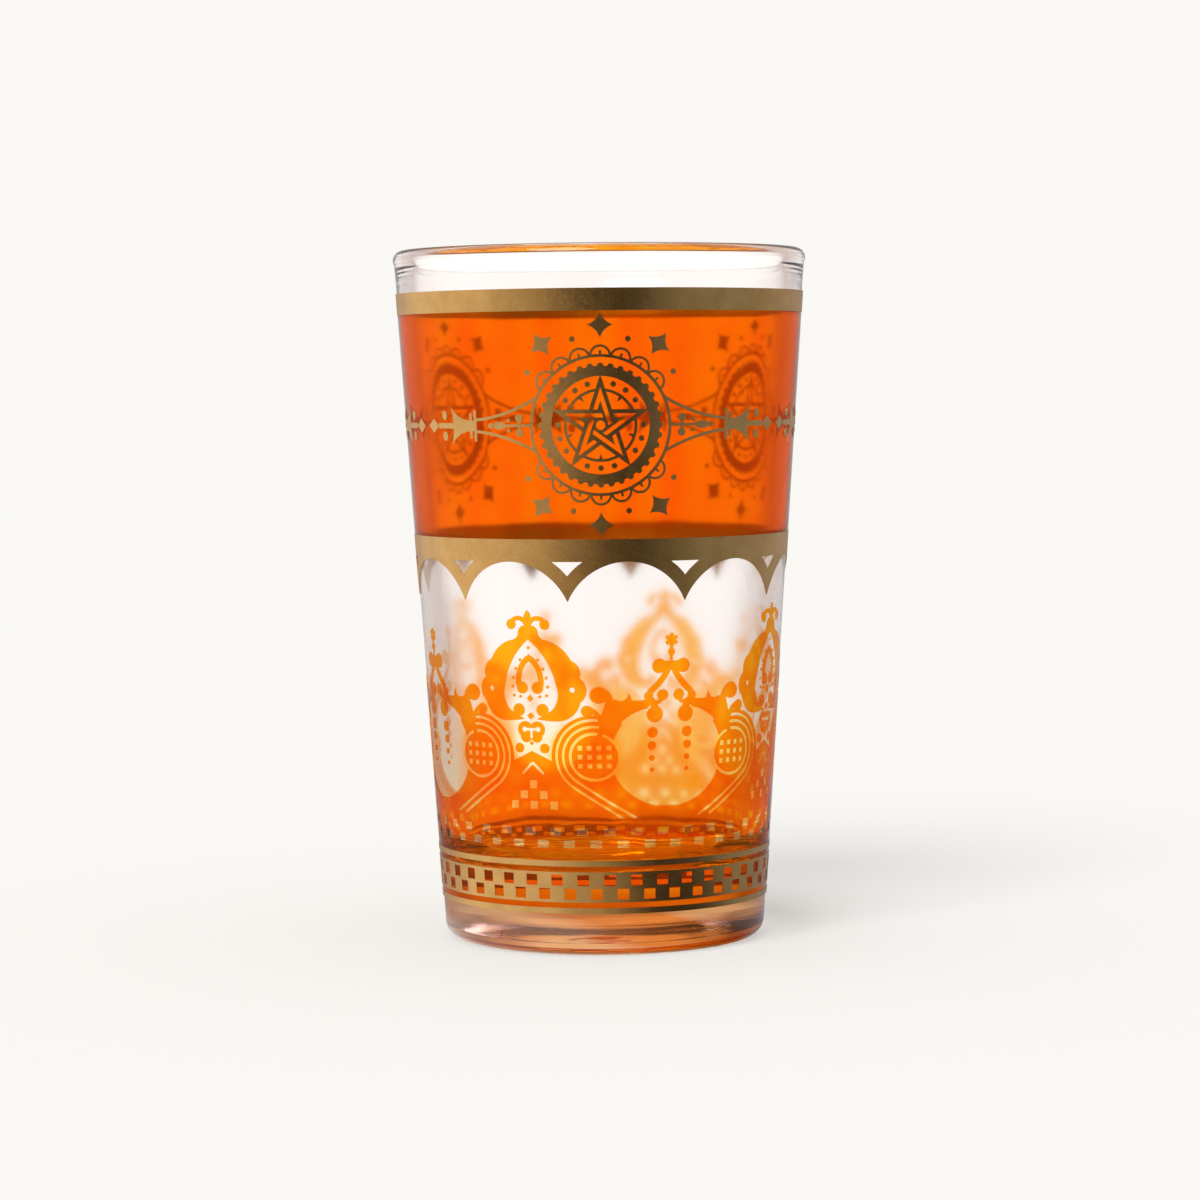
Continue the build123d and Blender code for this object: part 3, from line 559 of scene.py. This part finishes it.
def makeGoldLustre():
    look = goldLook
    material, tree, output = newMaterial("goldLustre")
    wear = placeGroup(tree, printWear, {
        "Mottle Scale": look["mottleScale"], "Grain Scale": look["grainScale"],
        "Hole Scale": look["holeScale"], "Hole Share": look["holeShare"],
        "Hole Size": look["holeSize"]}, (-900, 0))
    mottle = rangeNode(tree, wear.outputs["Mottle"], *look["mottleRange"], place=(-600, 250))
    grain = rangeNode(tree, wear.outputs["Grain"], *look["grainRange"], place=(-600, 50))
    patchy = mathNode(tree, "MULTIPLY", mottle, look["mottleShare"], place=(-500, 250))
    mixed = mathNode(tree, "MULTIPLY_ADD", grain, look["grainShare"], patchy, (-400, 250), True)
    gold = addNode(tree, "ShaderNodeBsdfPrincipled", (300, 0))
    gold.inputs["Metallic"].default_value = 1.0
    join(tree, twoColours(tree, mixed, look["dull"], look["bright"], (-200, 250)), gold.inputs["Base Color"])
    rough = mathNode(tree, "MULTIPLY_ADD", grain, look["grainRoughness"], look["roughness"], (-200, 0))
    join(tree, rough, gold.inputs["Roughness"])
    bump = addNode(tree, "ShaderNodeBump", (0, -250))
    bump.inputs["Strength"].default_value = look["bump"]
    bump.inputs["Distance"].default_value = look["bumpDepth"] * mm
    join(tree, wear.outputs["Grain"], bump.inputs["Height"])
    join(tree, bump.outputs["Normal"], gold.inputs["Normal"])
    kept = mathNode(tree, "SUBTRACT", 1.0, wear.outputs["Holes"], place=(0, -450))
    join(tree, kept, gold.inputs["Alpha"])
    join(tree, gold.outputs[0], output.inputs["Surface"])
    return material


def dressNodes(marks, material):
    dressed = [node for name, node in nodes.items() if any(mark in name for mark in marks)]
    for node in dressed:
        for slot in node.material_slots:
            slot.material = material
    return len(dressed)


orangeCount = dressNodes(("orange_",), makeOrangeEnamel())
goldCount = dressNodes(("_gold_", "medallion_", "frieze_link_"), makeGoldLustre())
print("films:", orangeCount, "orange,", goldCount, "gold")


# Floor, light tent, lamp and camera, with lengths in mm

studio = {
    "paper": (0.955, 0.939, 0.904),  # what the camera sees of the pale surround
    "ambient": 0.70,
    "seenThrough": 1.24,  # the pale surround as bare glass shows it
    "floorColour": (0.931, 0.923, 0.911), "floorRadius": 8000.0, "floorDrop": 0.05,
    "fibreScale": 700.0, "fibrePaler": 1.004,
    "paintedOrangePool": (0.80, 0.43, 0.20), "paintedPoolSpan": (15.0, 20.5),  # painted pool of orange light on the floor under the glass, for light that has come through the orange
    "fadeSpan": (200.0, 700.0),  # over this the floor passes into the surround
    "footSpan": (35.0, 190.0),  # over this the floor seen in the glass goes from lit to pale
    "mirrorSpan": (60.0, 420.0), "mirrorTurn": 0.11,  # close to the foot the mirrored ring is turned
    "sunStrength": 1.74, "sunAngle": 34.0, "sunTurn": 24.0, "sunHeight": 42.0,
}
# share of a turn from the back towards the right, and what is seen there
mirrorRing = (
    (0.00, (0.42, 0.38, 0.37)), (0.08, (0.50, 0.48, 0.48)), (0.16, (0.47, 0.48, 0.52)),
    (0.27, (0.33, 0.36, 0.41)), (0.38, (0.31, 0.33, 0.35)), (0.46, (0.02, 0.012, 0.005)),
    (0.53, (0.022, 0.013, 0.005)), (0.62, (0.52, 0.46, 0.38)), (0.72, (0.96, 0.92, 0.88)),
    (0.84, (1.05, 1.03, 1.00)), (0.92, (0.62, 0.57, 0.55)), (1.00, (0.42, 0.38, 0.37)),
)
backLight = (0.955, 0.915, 0.885)
throughRing = (
    (0.000, backLight), (0.038, backLight), (0.082, (0.60, 0.52, 0.50)), (0.112, (0.34, 0.26, 0.23)),
    (0.15, (0.42, 0.35, 0.32)), (0.22, (0.60, 0.55, 0.52)), (0.50, (0.86, 0.83, 0.81)),
    (0.78, (0.60, 0.55, 0.52)), (0.85, (0.43, 0.36, 0.33)), (0.884, (0.34, 0.26, 0.24)),
    (0.910, (0.62, 0.54, 0.52)), (0.956, backLight), (1.00, backLight),
)
# the same for light that has been thrown back inside the glass
bouncedRing = (
    (0.000, backLight), (0.038, backLight), (0.080, (0.66, 0.56, 0.52)), (0.125, (0.56, 0.45, 0.39)),
    (0.25, (0.56, 0.43, 0.36)), (0.34, (0.14, 0.09, 0.07)), (0.66, (0.14, 0.09, 0.07)),
    (0.75, (0.52, 0.40, 0.33)), (0.87, (0.48, 0.38, 0.34)), (0.918, (0.60, 0.52, 0.50)),
    (0.960, backLight), (1.00, backLight),
)


def ringColour(tree, where, stops, turned=None, place=(-1000, 0)):
    # the light tent's ring round the glass, read from a direction or a place on the floor
    x, y = place
    parts = partsOf(tree, where, place)
    turn = mathNode(tree, "ARCTAN2", parts["X"], parts["Y"], place=(x + 150, y))
    share = mathNode(tree, "MULTIPLY_ADD", turn, 1 / (2 * pi), 1.0, (x + 300, y))
    if turned:
        share = mathNode(tree, "ADD", share, turned, place=(x + 400, y))
    ring = addNode(tree, "ShaderNodeValToRGB", (x + 700, y))
    ring.color_ramp.interpolation = "EASE"
    marks = ring.color_ramp.elements
    for k, (position, colour) in enumerate(stops):
        mark = marks[k] if k < 2 else marks.new(position)
        mark.position = position
        mark.color = (*colour, 1)
    join(tree, mathNode(tree, "FRACT", share, place=(x + 550, y)), ring.inputs[0])
    return ring.outputs[0]


def throughColour(tree, where, place):
    # what shows through the glass, straight or after a turn inside it
    x, y = place
    straight = ringColour(tree, where, throughRing, place=(x, y))
    bounced = ringColour(tree, where, bouncedRing, place=(x, y - 250))
    rays = addNode(tree, "ShaderNodeLightPath", (x + 700, y + 300)).outputs
    turns = mathNode(tree, "GREATER_THAN", rays["Glossy Depth"], 0.5, place=(x + 900, y + 200))
    return twoColours(tree, turns, straight, bounced, (x + 1000, y))


def makeFloor():
    look = studio
    bpy.ops.object.select_all(action="DESELECT")
    bpy.ops.mesh.primitive_circle_add(vertices=96, radius=look["floorRadius"] * mm, fill_type="NGON",
                                      location=(0, 0, -look["floorDrop"] * mm))
    floor = bpy.context.object
    floor.name = "floor"
    bpy.ops.object.transform_apply(location=True, rotation=True, scale=True)
    material, tree, output = newMaterial("paleFloor")
    where = addNode(tree, "ShaderNodeTexCoord", (-1400, 0)).outputs["Object"]
    away = lengthOf(tree, where, (-1200, 500))
    fibre = noiseNode(tree, where, look["fibreScale"], 3, 0.6, (-700, 200))
    paler = [min(1, c * look["fibrePaler"]) for c in look["floorColour"]]
    colour = twoColours(tree, fibre, look["floorColour"], paler, (-450, 200))
    # painted pool of orange light in the floor's colour under the glass
    under = byLength(tree, away, look["paintedPoolSpan"], (1, 0), (-700, 400))
    lit = addNode(tree, "ShaderNodeBsdfDiffuse", (0, 200))
    join(tree, twoColours(tree, under, colour, look["paintedOrangePool"], (-250, 300)), lit.inputs["Color"])
    shown = addNode(tree, "ShaderNodeEmission", (0, 0))
    shown.inputs["Strength"].default_value = look["seenThrough"]
    join(tree, throughColour(tree, where, (-1200, 0)), shown.inputs["Color"])
    turned = byLength(tree, away, look["mirrorSpan"], (look["mirrorTurn"], 0), (-1400, -400))
    mirrored = addNode(tree, "ShaderNodeEmission", (0, -200))
    join(tree, ringColour(tree, where, mirrorRing, turned, (-1200, -400)), mirrored.inputs["Color"])
    pale = addNode(tree, "ShaderNodeEmission", (0, 400))
    pale.inputs["Color"].default_value = (*look["paper"], 1)
    rays = addNode(tree, "ShaderNodeLightPath", (0, 600)).outputs
    fade = byLength(tree, away, look["fadeSpan"], place=(-500, 700))
    faded = mathNode(tree, "MULTIPLY", rays["Is Camera Ray"], fade, place=(200, 600))
    past = byLength(tree, away, look["footSpan"], place=(-500, 500))
    inGlass = mathNode(tree, "MULTIPLY", rays["Is Transmission Ray"], past, place=(200, 400))
    notThrough = mathNode(tree, "SUBTRACT", 1.0, rays["Is Transmission Ray"], place=(0, 400))
    inMirror = mathNode(tree, "MULTIPLY", rays["Is Glossy Ray"], notThrough, place=(200, 300))
    shader = lit.outputs[0]
    for factor, source in ((faded, pale), (inGlass, shown), (inMirror, mirrored)):
        shader = mixShaders(tree, factor, shader, source.outputs[0], (400, 0))
    join(tree, shader, output.inputs["Surface"])
    floor.data.materials.append(material)


def makeWorld():
    look = studio
    world = bpy.data.worlds.new("lightTent")
    bpy.context.scene.world = world
    world.use_nodes = True
    world.cycles.sampling_method = "NONE"
    tree = world.node_tree
    tree.nodes.clear()
    output = addNode(tree, "ShaderNodeOutputWorld", (900, 0))
    way = addNode(tree, "ShaderNodeTexCoord", (-1200, 0)).outputs["Generated"]
    paper = (*look["paper"], 1)
    through = throughColour(tree, way, (-1000, 300))
    mirror = ringColour(tree, way, mirrorRing)
    rays = addNode(tree, "ShaderNodeLightPath", (300, 700)).outputs
    around = addNode(tree, "ShaderNodeBackground", (300, -150))
    around.inputs["Color"].default_value = paper
    around.inputs["Strength"].default_value = look["ambient"]
    shader = around.outputs[0]
    layers = (("Is Glossy Ray", mirror, 1.0), ("Is Transmission Ray", through, look["seenThrough"]),
              ("Is Camera Ray", paper, 1.0))
    for ray, colour, strength in layers:
        layer = addNode(tree, "ShaderNodeBackground", (300, 150))
        feed(tree, colour, layer.inputs["Color"])
        layer.inputs["Strength"].default_value = strength
        shader = mixShaders(tree, rays[ray], shader, layer.outputs[0], (600, 0))
    join(tree, shader, output.inputs["Surface"])


def makeLamp():
    look = studio
    data = bpy.data.lights.new("keyLight", "SUN")
    data.energy = look["sunStrength"]
    data.angle = radians(look["sunAngle"])
    lamp = bpy.data.objects.new("keyLight", data)
    bpy.context.scene.collection.objects.link(lamp)
    turn, height = radians(look["sunTurn"]), radians(look["sunHeight"])
    towards = Vector((-sin(turn) * cos(height), -cos(turn) * cos(height), sin(height)))
    lamp.rotation_euler = towards.to_track_quat("Z", "Y").to_euler()
    lamp.location = towards


cameraShot = {
    "lens": 108.9, "sensor": 36.0, "away": 487.6, "height": 74.07, "left": 0.28,
    "pitchDown": 3.405, "roll": -0.53, "nearest": 10.0, "farthest": 50000.0,
}


def makeCamera():
    shot = cameraShot
    data = bpy.data.cameras.new("shotCamera")
    data.sensor_width = shot["sensor"]
    data.lens = shot["lens"]
    data.clip_start = shot["nearest"] * mm
    data.clip_end = shot["farthest"] * mm
    camera = bpy.data.objects.new("shotCamera", data)
    bpy.context.scene.collection.objects.link(camera)
    place = Matrix.Translation(Vector((-shot["left"], -shot["away"], shot["height"])) * mm)
    tilt = Matrix.Rotation(radians(90 - shot["pitchDown"]), 4, "X")
    roll = Matrix.Rotation(radians(shot["roll"]), 4, "Z")
    camera.matrix_world = place @ tilt @ roll
    bpy.context.scene.camera = camera


makeFloor()
makeWorld()
makeLamp()
makeCamera()
scene = bpy.context.scene
scene.view_settings.view_transform = "Standard"
scene.cycles.max_bounces = 24
scene.cycles.transmission_bounces = 20
scene.cycles.glossy_bounces = 8
scene.cycles.transparent_max_bounces = 48
print("studio: floor, tent, lamp, camera")
